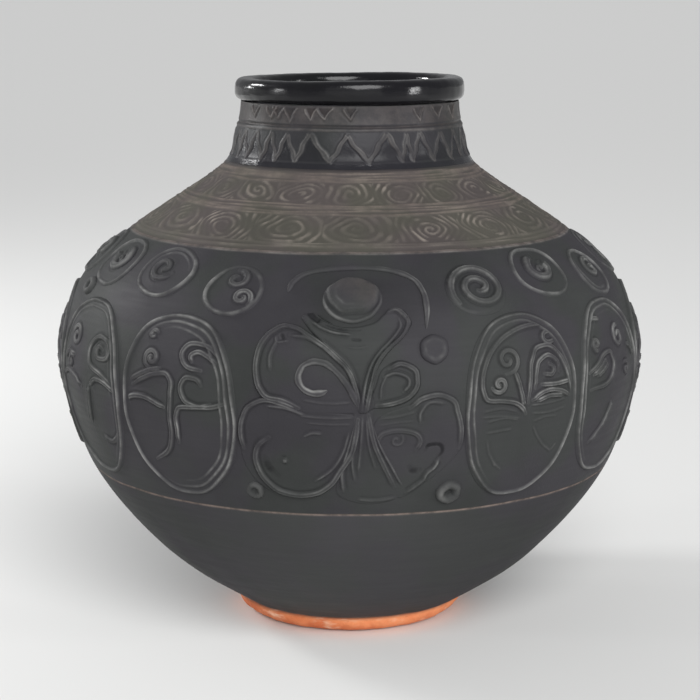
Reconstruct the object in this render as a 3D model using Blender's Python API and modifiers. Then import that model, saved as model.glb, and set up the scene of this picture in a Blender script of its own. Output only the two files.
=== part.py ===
"""Black clay pot with a terracotta foot, built up from turned clay sections and applied relief.

Each clay piece that the potter forms on its own is one object: the foot, four wall sections,
the rolled rim, and every disc, medallion, coil and knob that is luted onto the belly.
Lengths are written in millimetres and turned into metres where an object is made.
The front of the pot faces -Y. An angle is degrees round the pot from the front, positive towards +X.
A height on the wall is the arc length up its outer face from the belly line, called the climb.
"""

import math

import bmesh
import bpy

MM = 0.001

# Turned body
WALL = 7.0
SLIP = 0.3  # gap left for the slip that lutes one piece to the next
SCARF = 5.0  # rise of a bevelled joint from the outer face to the inner face
TURN_STEPS = 48
FOOT_HEIGHT = 9.0
FOOT_TOP_RADIUS = 54.8
FOOT_BASE_RADIUS = 43.5
FOOT_SIDE_STEPS = 5
FLOOR_THICKNESS = 7.5

# Outer face of the wall as (radius, height), from above the foot to under the rim
OUTLINE = (
    (56.3, 9.3),
    (69.2, 17.4),
    (86.0, 29.2),
    (101.0, 43.8),
    (115.6, 61.5),
    (125.7, 77.8),
    (133.9, 101.8),
    (138.2, 126.0),
    (135.3, 146.0),
    (126.8, 165.0),
    (113.5, 179.0),
    (104.2, 186.3),
    (75.6, 205.5),
    (62.5, 214.5),
    (56.6, 221.5),
    (54.7, 230.0),
    (52.4, 239.5),
    (51.6, 246.5),
)
BELLY_LINE_INDEX = 5  # the point of OUTLINE from which the climb is counted
SHOULDER_LINE = 124.0  # climb at the top of the relief band
NECK_JOINT = 178.0  # climb where the neck is set on the shoulder

# Rolled rim
RIM_CENTRE = (49.2, 252.1)
RIM_HALF_WIDTH = 5.0
RIM_HALF_HEIGHT = 5.3
RIM_SQUARENESS = 3.0
RIM_POINTS = 14

# Relief
RELIEF = 1.8  # thickness of an applied pad
BED = 0.45  # slip under an applied pad, enough to clear the wall between the corners of both
MEDALLIONS = 12
MEDALLION_FIRST_ANGLE = 33.3
MEDALLION_HALF_ANGLE = 12.6
MEDALLION_CENTRE = 46.4
MEDALLION_HALF_HEIGHT = 40.8
MEDALLION_SQUARENESS = 2.4
MEDALLION_CELLS = (6, 10)
ROUNDELS = 17
ROUNDEL_FIRST_ANGLE = 26.5
ROUNDEL_LAST_ANGLE = 335.6
ROUNDEL_LOW = (101.0, 6.4, 13.2)  # climb, half angle and half height
ROUNDEL_HIGH = (107.4, 7.8, 14.0)
ROUNDEL_CELLS = (4, 4)
ROUNDELS_RAISED_BY_HAND = (6, 10, 14)  # these break the low, high rhythm, two of them to clear a medallion
COIL_RADIUS = 1.1
COIL_STEPS = 3
EDGE_STEPS = 6
THIN_WING = 0.6  # thickness of the upper wing, as a share of RELIEF

# Small applied pieces: angle, climb and radius, or for a ring its major and minor radius
KNOB = (15.3, 74.8, 6.0)
BUTTON = (-68.6, 90.6, 4.2)
RINGS = {"figure_ring_right": (19.0, 9.5, 4.0, 1.6), "figure_ring_left": (-18.3, 10.5, 3.0, 1.2)}
RING_SEGMENTS = 14
RING_SIDES = 6

# Front figure: edges of its pads as (angle, climb), from the bottom up
CUP_LEFT = ((2.0, 51.0), (1.2, 58.0), (-0.5, 65.4), (-3.0, 72.2), (-5.4, 78.2), (-7.4, 89.6))
CUP_RIGHT = ((3.3, 51.0), (3.8, 60.0), (4.9, 69.0), (7.4, 76.6), (11.0, 85.6), (8.6, 92.4))
CUP_DIP = 6.0
UPPER_WING_LEFT = ((-10.0, 53.4), (-14.7, 55.6), (-16.8, 62.4), (-17.0, 71.0), (-15.4, 80.2), (-12.4, 84.9))
UPPER_WING_RIGHT = ((0.9, 52.4), (0.3, 57.6), (-1.4, 64.6), (-4.2, 71.2), (-7.6, 77.8), (-11.0, 84.2))
LOWER_WING_LEFT = ((-9.5, 9.5), (-15.2, 13.6), (-18.4, 22.0), (-19.6, 34.0), (-18.6, 45.0), (-14.5, 51.5))
LOWER_WING_RIGHT = ((-7.0, 9.6), (-3.4, 13.6), (-1.4, 21.0), (0.0, 30.0), (0.8, 40.0), (0.9, 48.8))
SKIRT_LEFT = ((-1.5, 7.5), (0.0, 17.0), (1.0, 27.0), (1.6, 36.0), (2.0, 44.0), (2.2, 49.6))
SKIRT_RIGHT = ((9.0, 7.5), (7.0, 17.0), (5.4, 26.0), (4.1, 35.0), (3.4, 43.0), (3.2, 49.6))
TAIL_WING_LEFT = ((10.6, 9.6), (8.6, 17.0), (6.8, 26.0), (5.3, 35.0), (4.6, 43.0), (11.6, 52.0))
TAIL_WING_RIGHT = ((12.0, 9.8), (15.4, 16.5), (18.2, 25.0), (19.7, 35.0), (19.4, 45.6), (15.2, 54.2))
LEAF_LEFT = ((4.6, 53.0), (4.8, 57.0), (5.2, 61.2), (5.9, 65.0), (7.4, 68.0))
LEAF_RIGHT = ((7.6, 53.2), (10.8, 56.4), (12.0, 61.2), (11.2, 66.0), (9.4, 68.6))
ARCH_RISE = ((-12.6, 100.0), (-10.8, 108.6), (-5.0, 113.6), (1.0, 114.8), (7.6, 113.6))
ARCH_FALL = ((12.6, 108.6), (14.7, 100.0), (14.8, 92.0), (14.2, 83.4))
CURL_RISE = ((0.1, 54.6), (-1.4, 62.2), (-3.6, 68.0), (-6.4, 70.2))
CURL_FALL = ((-8.8, 67.8), (-8.9, 62.0), (-6.7, 58.0), (-4.2, 58.8))


def hermite(points, steps):
    """Samples of a smooth curve through the points, with the given steps between one point and the next."""
    reach = [0.0]
    for a, b in zip(points, points[1:]):
        reach.append(reach[-1] + math.dist(a, b))
    slopes = []
    for i in range(len(points)):
        low, high = max(i - 1, 0), min(i + 1, len(points) - 1)
        span = reach[high] - reach[low]
        slopes.append([(q - p) / span for p, q in zip(points[low], points[high])])
    samples = [tuple(points[0])]
    for i in range(len(points) - 1):
        width = reach[i + 1] - reach[i]
        for step in range(1, steps + 1):
            t = step / steps
            near = 2 * t**3 - 3 * t**2 + 1
            near_slope = (t**3 - 2 * t**2 + t) * width
            far_slope = (t**3 - t**2) * width
            samples.append(
                tuple(
                    near * a + near_slope * ma + (1 - near) * b + far_slope * mb
                    for a, ma, b, mb in zip(points[i], slopes[i], points[i + 1], slopes[i + 1])
                )
            )
    return samples


def at_share(samples, share):
    """The point of a sampled curve at a share of its length, from 0 to 1."""
    position = min(max(share, 0.0), 1.0) * (len(samples) - 1)
    index = min(int(position), len(samples) - 2)
    part = position - index
    return [a + (b - a) * part for a, b in zip(samples[index], samples[index + 1])]


OUTLINE_STEPS = 12
WALL_CURVE = hermite(OUTLINE, OUTLINE_STEPS)
WALL_REACH = [0.0]
for lower, upper in zip(WALL_CURVE, WALL_CURVE[1:]):
    WALL_REACH.append(WALL_REACH[-1] + math.dist(lower, upper))
BELLY_LINE_REACH = WALL_REACH[BELLY_LINE_INDEX * OUTLINE_STEPS]
FOOT_JOINT = -BELLY_LINE_REACH
RIM_JOINT = WALL_REACH[-1] - BELLY_LINE_REACH


def wall_at(climb, lift=0.0):
    """(radius, height) on the outer face at this climb, moved outwards by lift along its normal."""
    reach = min(max(climb + BELLY_LINE_REACH, 0.0), WALL_REACH[-1])
    index = 0
    while index < len(WALL_REACH) - 2 and WALL_REACH[index + 1] < reach:
        index += 1
    low, high = WALL_CURVE[index], WALL_CURVE[index + 1]
    length = WALL_REACH[index + 1] - WALL_REACH[index]
    part = (reach - WALL_REACH[index]) / length
    along = ((high[0] - low[0]) / length, (high[1] - low[1]) / length)
    radius = low[0] + along[0] * part * length + along[1] * lift
    height = low[1] + along[1] * part * length - along[0] * lift
    return radius, height


def on_wall(angle, climb, lift):
    """The point in metres over the outer face at this angle and climb."""
    radius, height = wall_at(climb, lift)
    turn = math.radians(angle)
    return (radius * math.sin(turn) * MM, -radius * math.cos(turn) * MM, height * MM)


def clay(name, colour, roughness):
    """A plain material for one kind of clay surface."""
    material = bpy.data.materials.new(name)
    material.use_nodes = True
    shader = material.node_tree.nodes["Principled BSDF"]
    shader.inputs["Base Color"].default_value = (*colour, 1.0)
    shader.inputs["Roughness"].default_value = roughness
    shader.inputs["Metallic"].default_value = 0.0
    return material


def add_object(name, data, material, angle=0.0):
    """One named object under the pot's empty, turned round the pot's axis by the angle."""
    thing = bpy.data.objects.new(name, data)
    if not data.materials:
        data.materials.append(material)
    POT.objects.link(thing)
    thing.parent = AXIS
    thing.rotation_euler.z = math.radians(angle)
    return thing


def turned(name, profile, material, closed):
    """A turned piece: a profile of (radius, height) down its outer side, swept by a Screw modifier."""
    mesh = bpy.data.meshes.new(name)
    points = [(radius * MM, 0.0, height * MM) for radius, height in profile]
    edges = [(i, i + 1) for i in range(len(points) - 1)]
    if closed:
        edges.append((len(points) - 1, 0))
    mesh.from_pydata(points, edges, [])
    thing = add_object(name, mesh, material)
    screw = thing.modifiers.new("turn", "SCREW")
    screw.axis = "Z"
    screw.angle = 2 * math.pi
    screw.steps = TURN_STEPS
    screw.render_steps = TURN_STEPS
    screw.use_merge_vertices = True
    screw.merge_threshold = 0.00001
    screw.use_smooth_shade = True
    return thing


def spread(first, last, count):
    """Evenly spaced values from first to last, both included."""
    return [first + (last - first) * i / count for i in range(count + 1)]


def wall_section(name, bottom, top, cells, material):
    """A ring of wall between two climbs. Its edges rise inwards, so that it seats on the one below."""
    bed = bottom + SLIP * math.sqrt(2)
    outside = [wall_at(climb) for climb in spread(top, bed, cells)]
    inside = [wall_at(climb, -WALL) for climb in spread(bed + SCARF, min(top + SCARF, RIM_JOINT), cells)]
    return turned(name, outside + inside, material, closed=True)


def lower_bowl(material):
    """The bowl from its flat floor on the foot up to the belly line."""
    cells = 7
    floor = FOOT_HEIGHT + SLIP + FLOOR_THICKNESS
    inside = [wall_at(climb, -WALL) for climb in spread(FOOT_JOINT, SCARF, cells)]
    inside[0] = (inside[0][0], floor)
    outside = [wall_at(climb) for climb in spread(0.0, FOOT_JOINT, cells)]
    base = FOOT_HEIGHT + SLIP
    return turned("lower_bowl", [(0.0, floor), *inside, *outside, (0.0, base)], material, closed=False)


def foot(material):
    """The bare terracotta foot: a disc whose side is a quarter of an ellipse."""
    overhang = FOOT_TOP_RADIUS - FOOT_BASE_RADIUS
    side = []
    for step in range(FOOT_SIDE_STEPS + 1):
        turn = math.pi / 2 * step / FOOT_SIDE_STEPS
        side.append((FOOT_BASE_RADIUS + overhang * math.cos(turn), FOOT_HEIGHT * (1 - math.sin(turn))))
    return turned("foot", [(0.0, FOOT_HEIGHT), *side, (0.0, 0.0)], material, closed=False)


def rolled_rim(material):
    """The rim: a squared-off roll with a flat bed that sits on the neck."""
    bed = OUTLINE[-1][1] + SLIP
    profile = []
    for step in range(RIM_POINTS):
        turn = math.pi / 2 - 2 * math.pi * (step + 0.5) / RIM_POINTS
        across, up = math.cos(turn), math.sin(turn)
        size = (abs(across) ** RIM_SQUARENESS + abs(up) ** RIM_SQUARENESS) ** (-1 / RIM_SQUARENESS)
        height = RIM_CENTRE[1] + RIM_HALF_HEIGHT * size * up
        profile.append((RIM_CENTRE[0] + RIM_HALF_WIDTH * size * across, max(height, bed)))
    return turned("rolled_rim", profile, material, closed=True)


def pad_mesh(name, columns, rows, place, lift):
    """A sheet of columns by rows cells over the wall.

    place turns (x, y), each from -1 to 1, into (angle, climb).
    """
    mesh = bpy.data.meshes.new(name)
    grid = bmesh.new()
    bmesh.ops.create_grid(grid, x_segments=columns, y_segments=rows, size=1.0)
    for corner in grid.verts:
        angle, climb = place(corner.co.x, corner.co.y)
        corner.co = on_wall(angle, climb, lift)
    grid.to_mesh(mesh)
    grid.free()
    return mesh


def add_pad(name, mesh, thickness, material, angle=0.0):
    """An applied pad: the sheet thickened outwards."""
    thing = add_object(name, mesh, material, angle)
    shell = thing.modifiers.new("thickness", "SOLIDIFY")
    shell.thickness = thickness * MM
    shell.offset = 1.0
    return thing


def oval(centre, half_angle, half_height, squareness=2.0):
    """Places a sheet as an oval round centre, an (angle, climb)."""

    def place(x, y):
        across = x * math.sqrt(1 - y * y / 2)
        up = y * math.sqrt(1 - x * x / 2)
        size = math.hypot(across, up)
        if size > 0:
            share = (abs(across / size) ** squareness + abs(up / size) ** squareness) ** (-1 / squareness)
            across, up = across * share, up * share
        return centre[0] + half_angle * across, centre[1] + half_height * up

    return place


def round_spot(angle, climb, radius):
    """Places a sheet as a true circle of this radius in millimetres."""
    return oval((angle, climb), math.degrees(radius / wall_at(climb)[0]), radius)


def between(left, right, dip=0.0):
    """Places a sheet between a left and a right edge. dip lowers the middle of its top edge."""
    left_edge, right_edge = hermite(left, EDGE_STEPS), hermite(right, EDGE_STEPS)

    def place(x, y):
        start, end = at_share(left_edge, (y + 1) / 2), at_share(right_edge, (y + 1) / 2)
        across = (x + 1) / 2
        angle = start[0] + (end[0] - start[0]) * across
        climb = start[1] + (end[1] - start[1]) * across
        return angle, climb - dip * (1 - x * x) * ((y + 1) / 2) ** 3

    return place


def coil(name, path, lift, material):
    """A rolled coil of clay laid along a path of (angle, climb)."""
    data = bpy.data.curves.new(name, "CURVE")
    data.dimensions = "3D"
    data.bevel_depth = COIL_RADIUS * MM
    data.bevel_resolution = 1
    data.use_fill_caps = True
    steps = hermite(path, COIL_STEPS)
    line = data.splines.new("POLY")
    line.points.add(len(steps) - 1)
    for point, (angle, climb) in zip(line.points, steps):
        point.co = (*on_wall(angle, climb, lift + COIL_RADIUS), 1.0)
    return add_object(name, data, material)


def ring(name, angle, climb, major, minor, material):
    """A small ring of clay laid flat on the wall."""
    bpy.ops.mesh.primitive_torus_add(
        major_radius=major * MM,
        minor_radius=minor * MM,
        major_segments=RING_SEGMENTS,
        minor_segments=RING_SIDES,
    )
    made = bpy.context.object
    mesh = made.data
    bpy.data.objects.remove(made)
    mesh.name = name
    mesh.shade_smooth()
    thing = add_object(name, mesh, material)
    thing.location = on_wall(angle, climb, BED + minor)
    (near, low), (far, high) = wall_at(climb), wall_at(climb, 1.0)
    tilt = math.atan2(far - near, high - low)
    thing.rotation_euler = (tilt, 0.0, math.radians(angle))
    return thing


def add_medallions(material):
    """The row of large oval medallions, one mesh shared all round the belly."""
    place = oval((0.0, MEDALLION_CENTRE), MEDALLION_HALF_ANGLE, MEDALLION_HALF_HEIGHT, MEDALLION_SQUARENESS)
    mesh = pad_mesh("medallion", *MEDALLION_CELLS, place, BED)
    pitch = (360.0 - 2 * MEDALLION_FIRST_ANGLE) / (MEDALLIONS - 1)
    for index in range(MEDALLIONS):
        angle = MEDALLION_FIRST_ANGLE + pitch * index
        add_pad(f"medallion_{index + 1:02d}", mesh, RELIEF, material, angle)


def add_roundels(material):
    """The row of spiral roundels above the medallions, alternately low and high."""
    sheets = []
    for name, row in (("roundel_low", ROUNDEL_LOW), ("roundel_high", ROUNDEL_HIGH)):
        climb, half_angle, half_height = row
        sheets.append(pad_mesh(name, *ROUNDEL_CELLS, oval((0.0, climb), half_angle, half_height), BED))
    pitch = (ROUNDEL_LAST_ANGLE - ROUNDEL_FIRST_ANGLE) / (ROUNDELS - 1)
    for index in range(ROUNDELS):
        is_high = index % 2 == 1 or index in ROUNDELS_RAISED_BY_HAND
        angle = ROUNDEL_FIRST_ANGLE + pitch * index
        add_pad(f"roundel_{index + 1:02d}", sheets[is_high], RELIEF, material, angle)


def add_figure(material):
    """The front figure: a disc under an arch, held in a cup over four wings and a skirt."""
    # Each sheet: name, columns, rows, its outline, and its thickness as a share of RELIEF
    sheets = (
        ("figure_disc", 5, 5, oval((0.5, 98.6), 5.5, 9.9), 1.7),
        ("figure_cup", 4, 8, between(CUP_LEFT, CUP_RIGHT, CUP_DIP), 1.2),
        ("figure_upper_wing", 5, 7, between(UPPER_WING_LEFT, UPPER_WING_RIGHT), THIN_WING),
        ("figure_lower_wing", 6, 7, between(LOWER_WING_LEFT, LOWER_WING_RIGHT), 0.7),
        ("figure_skirt", 3, 7, between(SKIRT_LEFT, SKIRT_RIGHT), 0.7),
        ("figure_tail_wing", 5, 8, between(TAIL_WING_LEFT, TAIL_WING_RIGHT), 0.7),
        ("figure_leaf", 3, 5, between(LEAF_LEFT, LEAF_RIGHT), 0.9),
        ("figure_knob", 4, 4, round_spot(*KNOB), 1.2),
        ("small_button", 3, 3, round_spot(*BUTTON), 1.0),
    )
    for name, columns, rows, place, share in sheets:
        add_pad(name, pad_mesh(name, columns, rows, place, BED), RELIEF * share, material)
    coil("figure_arch", ARCH_RISE + ARCH_FALL, BED, material)
    coil("figure_curl", CURL_RISE + CURL_FALL, 2 * BED + RELIEF * THIN_WING, material)
    for name, (angle, climb, major, minor) in RINGS.items():
        ring(name, angle, climb, major, minor, material)


for leftover in list(bpy.data.objects):
    bpy.data.objects.remove(leftover)

POT = bpy.data.collections.new("black_clay_pot")
bpy.context.scene.collection.children.link(POT)
AXIS = bpy.data.objects.new("pot_axis", None)
POT.objects.link(AXIS)

satin_black = clay("satin_black_clay", (0.048, 0.047, 0.050), 0.5)
burnished_black = clay("burnished_black_clay", (0.030, 0.031, 0.033), 0.22)
matte_grey = clay("matte_grey_clay", (0.100, 0.092, 0.085), 0.8)
terracotta = clay("bare_terracotta", (0.60, 0.23, 0.11), 0.85)

foot(terracotta)
lower_bowl(satin_black)
wall_section("belly_wall", 0.0, SHOULDER_LINE, 8, satin_black)
wall_section("shoulder_wall", SHOULDER_LINE, NECK_JOINT, 4, matte_grey)
wall_section("neck_collar", NECK_JOINT, RIM_JOINT, 5, satin_black)
rolled_rim(burnished_black)
add_medallions(satin_black)
add_roundels(satin_black)
add_figure(satin_black)
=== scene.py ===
"""The looks of the black clay pot: its carved surfaces, its clay and its studio.

Lengths are in millimetres and angles in degrees until a mesh is made. A place on the outer face is an angle
round the pot, from the front and positive towards +X, and a climb, the arc length up from the belly line.
"""

import math
from collections import namedtuple

import bpy
import numpy as np
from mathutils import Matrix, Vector
from mathutils.bvhtree import BVHTree
from numpy import arctan2, clip, column_stack, cos, degrees, exp, hypot, interp, linspace
from numpy import maximum, minimum, ptp, radians, sin, sqrt, vstack, where, zeros


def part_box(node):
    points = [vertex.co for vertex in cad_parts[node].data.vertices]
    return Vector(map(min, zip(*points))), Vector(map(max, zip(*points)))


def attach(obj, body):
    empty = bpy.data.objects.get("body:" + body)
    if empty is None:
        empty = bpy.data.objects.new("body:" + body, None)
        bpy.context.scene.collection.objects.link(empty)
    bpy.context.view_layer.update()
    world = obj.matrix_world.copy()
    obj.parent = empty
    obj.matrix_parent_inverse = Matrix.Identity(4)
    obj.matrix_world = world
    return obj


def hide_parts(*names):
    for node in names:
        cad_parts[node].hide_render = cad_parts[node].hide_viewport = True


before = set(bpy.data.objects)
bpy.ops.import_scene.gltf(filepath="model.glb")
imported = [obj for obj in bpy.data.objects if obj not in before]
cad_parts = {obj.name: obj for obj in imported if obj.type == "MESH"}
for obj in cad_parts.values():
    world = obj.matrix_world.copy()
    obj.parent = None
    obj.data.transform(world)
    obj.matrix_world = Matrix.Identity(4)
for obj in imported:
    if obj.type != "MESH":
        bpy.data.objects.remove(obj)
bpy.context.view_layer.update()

MM = 0.001

# ---- the wall, read from the frame


def unit(value):
    """A value held between 0 and 1."""
    return clip(value, 0, 1)


def reach_along(points):
    """The distance along a path to each of its points."""
    return np.concatenate([[0], np.cumsum(np.linalg.norm(np.diff(points, axis=0), axis=1))])


def smooth_path(points, steps=6, closed=False):
    """A curve through the points, with this many steps from each point to the next."""
    points = np.asarray(points, float)
    if closed:
        points = vstack([points[-2:], points, points[:3]])
    reach = reach_along(points)
    slopes = np.gradient(points, reach, axis=0)
    if closed:
        points, slopes, reach = points[2:-2], slopes[2:-2], reach[2:-2]
    width = np.diff(reach)[:, None, None]
    t = (np.arange(steps) / steps)[None, :, None]
    far = 3 * t**2 - 2 * t**3
    curve = points[:-1, None] * (1 - far) + points[1:, None] * far
    curve = curve + width * (slopes[:-1, None] * (t**3 - 2 * t**2 + t) + slopes[1:, None] * (t**3 - t**2))
    return vstack([curve.reshape(-1, points.shape[1]), points[-1:]])


def vertex_array(node):
    """A CAD node's vertices in millimetres."""
    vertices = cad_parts[node].data.vertices
    flat = zeros(len(vertices) * 3)
    vertices.foreach_get("co", flat)
    return flat.reshape(-1, 3) / MM


def radii(points):
    """How far points lie from the pot's axis."""
    return hypot(points[:, 0], points[:, 1])


def outer_corners(gap=2.0, slack=0.1):
    """(radius, height) of the wall's outer corners from the foot up, at least gap apart."""
    points, faces = [], []
    for node in ("lower_bowl", "belly_wall", "shoulder_wall", "neck_collar"):
        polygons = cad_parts[node].data.polygons
        faces += [[len(points) + i for i in face.vertices] for face in polygons]
        points += vertex_array(node).tolist()
    tree = BVHTree.FromPolygons(points, faces)
    column = sorted({(round(z, 3), round(x, 3)) for x, y, z in points if abs(y) < slack / 10 and x > 1})
    far = 2 * max(radius for _, radius in column)
    corners = []
    for height, radius in column:
        rays = [tree.ray_cast((far, 0, height + side), (-1, 0, 0)) for side in (-slack / 10, slack / 10)]
        hidden = any(hit is not None and hit.x > radius + slack for hit, *_ in rays)
        if not hidden and (not corners or math.dist(corners[-1], (radius, height)) > gap):
            corners.append((radius, height))
    return corners


WALL = smooth_path(outer_corners(), steps=24)
WALL_REACH = reach_along(WALL)
WALL_SLOPE = np.gradient(WALL, WALL_REACH, axis=0)
WALL_SLOPE /= np.linalg.norm(WALL_SLOPE, axis=1)[:, None]
WALL_MIDDLE = WALL[:, 0].argmax()


def joint_reach(node):
    """The arc length to where the upper wall is as wide as a CAD node."""
    return interp(-radii(vertex_array(node)).max(), -WALL[WALL_MIDDLE:, 0], WALL_REACH[WALL_MIDDLE:])


BOWL_RADIUS = radii(vertex_array("lower_bowl")).max()
BELLY_REACH = interp(BOWL_RADIUS, WALL[: WALL_MIDDLE + 1, 0], WALL_REACH[: WALL_MIDDLE + 1])
FOOT_JOINT = -BELLY_REACH
SHOULDER_LINE = joint_reach("shoulder_wall") - BELLY_REACH
NECK_JOINT = joint_reach("neck_collar") - BELLY_REACH
RIM_JOINT = WALL_REACH[-1] - BELLY_REACH
FOOT_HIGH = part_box("foot")[1] / MM


def radius_at(climb):
    """The outer face's radius."""
    return interp(np.asarray(climb) + BELLY_REACH, WALL_REACH, WALL[:, 0])


def flat(points, middle=(0.0, 0.0)):
    """(x, y) in millimetres, from the middle, of (angle, climb) points on the wall laid flat."""
    x = radians(points[:, 0] - middle[0]) * radius_at(points[:, 1])
    return column_stack([x, points[:, 1] - middle[1]])


def degrees_at(climb, length):
    """The angle that a length takes up at this climb."""
    return degrees(length / radius_at(climb))


def by_hand(angle, climb):
    """How far the wall is off its true form."""
    turn = radians(angle)
    return sum(size * cos(k * turn + rate * np.asarray(climb) + phase) for k, rate, size, phase in WAVES)


def wall_waves(seed=11):
    """The wall's swells: waves round the pot, drift per millimetre up it, size and phase."""
    choose = np.random.default_rng(seed).uniform
    waves = [(k, choose(-0.02, 0.02), 0.34 / k, choose(0, 6.28)) for k in (1, 2, 3, 4, 5)]
    return waves + [(k, choose(-0.12, 0.12), 0.045, choose(0, 6.28)) for k in (9, 13, 17, 22, 29)]


WAVES = wall_waves()


def place(angle, radius, height):
    """Points in metres, in the last axis of the result."""
    turn = radians(angle)
    points = [radius * sin(turn), -radius * cos(turn), height + 0 * turn]
    return np.stack(np.broadcast_arrays(*points), axis=-1) * MM


def on_wall(angle, climb, lift):
    """Points in metres, moved off the outer face by lift."""
    lift = lift + by_hand(angle, climb)
    reach = np.asarray(climb) + BELLY_REACH
    radius, height = (interp(reach, WALL_REACH, WALL[:, i]) for i in (0, 1))
    out, up = (interp(reach, WALL_REACH, WALL_SLOPE[:, i]) for i in (0, 1))
    return place(angle, radius + up * lift, height - out * lift)


# ---- relief

# A drawn line of relief: its path of (angle, climb), half its width, its height, negative for a groove, the
# share of its length over which each end fades, and how far its crest is parted into two, 0 to 1
Stroke = namedtuple("Stroke", "path width height fade split", defaults=(0.08, 0.0))


def stroke(points, width=1.35, height=1.0, fade=0.08):
    """A smooth stroke through a few points. A broad one has a double crest."""
    return Stroke(smooth_path(points), width, height, fade, 0.85 if width > 1.1 else 0.0)


def spiral(centre, size, turns, start, hand=1, width=1.2, height=1.0, tall=1.0, inner=0.12, split=0.7):
    """A stroke that winds out from centre to size millimetres, and ends in the start direction."""
    share = linspace(0, 1, int(turns * 22) + 2)
    turn = radians(start) - hand * 2 * math.pi * turns * (1 - share)
    reach = size * (inner + (1 - inner) * share)
    angle = centre[0] + degrees_at(centre[1], reach * cos(turn))
    climb = centre[1] + reach * sin(turn) * tall
    return Stroke(column_stack([angle, climb]), width, height, split=split)


def wrapped(angle):
    """An angle from -180 to 180."""
    return (np.asarray(angle) + 180.0) % 360.0 - 180.0


def nearest(path, angle, climb, within):
    """Distance from points on the wall to a path, left at infinity beyond within, and the share of the path's
    length at the nearest place."""
    middle = path[:, 0].mean()
    turn = wrapped(angle - middle)
    side = np.abs(path[:, 0] - middle).max() + degrees(within / radius_at(path[:, 1]).min())
    low, high = path[:, 1].min() - within, path[:, 1].max() + within
    close = (np.abs(turn) < side) & (climb > low) & (climb < high)
    x, y = radians(turn[close]) * radius_at(climb[close]), climb[close]
    corners = flat(path, (middle, 0.0))
    best, share = np.full(x.shape, np.inf), zeros(x.shape)
    count = len(corners) - 1
    for i in range(count):
        (ax, ay), (bx, by) = corners[i], corners[i + 1]
        dx, dy = bx - ax, by - ay
        t = unit(((x - ax) * dx + (y - ay) * dy) / (dx * dx + dy * dy + 1e-12))
        away = (x - ax - t * dx) ** 2 + (y - ay - t * dy) ** 2
        better = away < best
        best[better] = away[better]
        share[better] = (i + t[better]) / count
    distance, along = np.full(angle.shape, np.inf), zeros(angle.shape)
    distance[close], along[close] = sqrt(best), share
    return distance, along


def bell(away, width):
    """1 at no distance, falling off smoothly over width."""
    return exp(-((away / width) ** 2))


def ridge(away, width, height=1.0):
    """The height of a round-topped ridge at a distance from its middle."""
    return height * unit(1 - (away / width) ** 2) ** 1.35


DITCH_DEPTH = 0.26
DITCH_WIDTH = 0.6
CREST_AT = 0.56  # where the two crests of a parted stroke lie, as a share of its half width
CREST_WIDTH = 0.26
PALE_HEIGHT = 0.85  # a ridge this high or higher is painted fully pale, rubbed wear and painted highlight
SWELL = 0.4  # soft swelling under a broad stroke
SWELL_WIDTH = 2.9


def draw(strokes, angle, climb):
    """The strokes' relief, and how pale each point is painted, for rubbed wear and painted highlight along
    the crests. Below 0 it is painted shade, in grooves and in the ditches beside ridges.
    """
    up, down, line, swell = (zeros(angle.shape) for _ in range(4))
    for index, mark in enumerate(strokes):
        away, share = nearest(mark.path, angle, climb, mark.width + 2 * SWELL_WIDTH)
        fade = clip(minimum(share, 1 - share) / max(mark.fade, 1e-6), 0.25, 1)
        uneven = 1 + 0.14 * sin(share * 17.0 + index * 2.4) + 0.09 * sin(share * 41.0 + index)
        width = mark.width * (0.75 + 0.25 * fade)
        out = minimum(away / width, 9.0)
        form = unit(1 - out**2) ** 1.2 * fade
        if mark.height < 0:
            down = minimum(down, form * mark.height * uneven)
            continue
        up = maximum(up, form * (1 - 0.55 * mark.split * bell(out, 0.3)) * mark.height * uneven)
        double = bell(out - CREST_AT, CREST_WIDTH) * (1 + 0.25 * sin(share * 9.0 + index))
        crest = bell(out, 0.42) * (1 - mark.split) + double * mark.split
        line = maximum(line, crest * fade * (0.8 + 0.2 * uneven) * min(1.0, mark.height / PALE_HEIGHT))
        if mark.split > 0:
            swell = maximum(swell, SWELL * mark.height * bell(away, SWELL_WIDTH) * fade)
        beside = bell(away - width - 0.3, DITCH_WIDTH)
        down = minimum(down, -DITCH_DEPTH * beside * fade * min(1.0, mark.height))
    ground = 1 - unit(up / 0.25)
    # The line mark goes below 0 in grooves and ditches: painted shade.
    return up + swell + down * ground, line + clip(down / 0.6, -1, 0) * ground


# ---- making meshes


def make_piece(name, points, faces, marks, material):
    """A mesh piece, with marks for its material to read. It is named after its CAD node, with a word more."""
    mesh = bpy.data.meshes.new(name)
    mesh.from_pydata(points.tolist(), [], faces)
    for mark, values in marks.items():
        attribute = mesh.attributes.new(mark, "FLOAT", "POINT")
        attribute.data.foreach_set("value", np.ravel(values).astype(np.float32))
    mesh.shade_smooth()
    mesh.set_sharp_from_angle(angle=math.radians(60))
    mesh.materials.append(material)
    piece = bpy.data.objects.new(name, mesh)
    bpy.context.scene.collection.objects.link(piece)
    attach(piece, "root")
    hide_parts(name.rpartition("_")[0])


def grid_faces(rows, columns, closed=False):
    """Quads over rows of points that go right round, the last row joined to the first if closed."""
    row, column = np.meshgrid(np.arange(rows - (not closed)), np.arange(columns), indexing="ij")
    above, after = (row + 1) % rows, (column + 1) % columns
    corners = ((row, column), (row, after), (above, after), (above, column))
    return np.stack([r * columns + c for r, c in corners], axis=-1).reshape(-1, 4).tolist()


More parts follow.
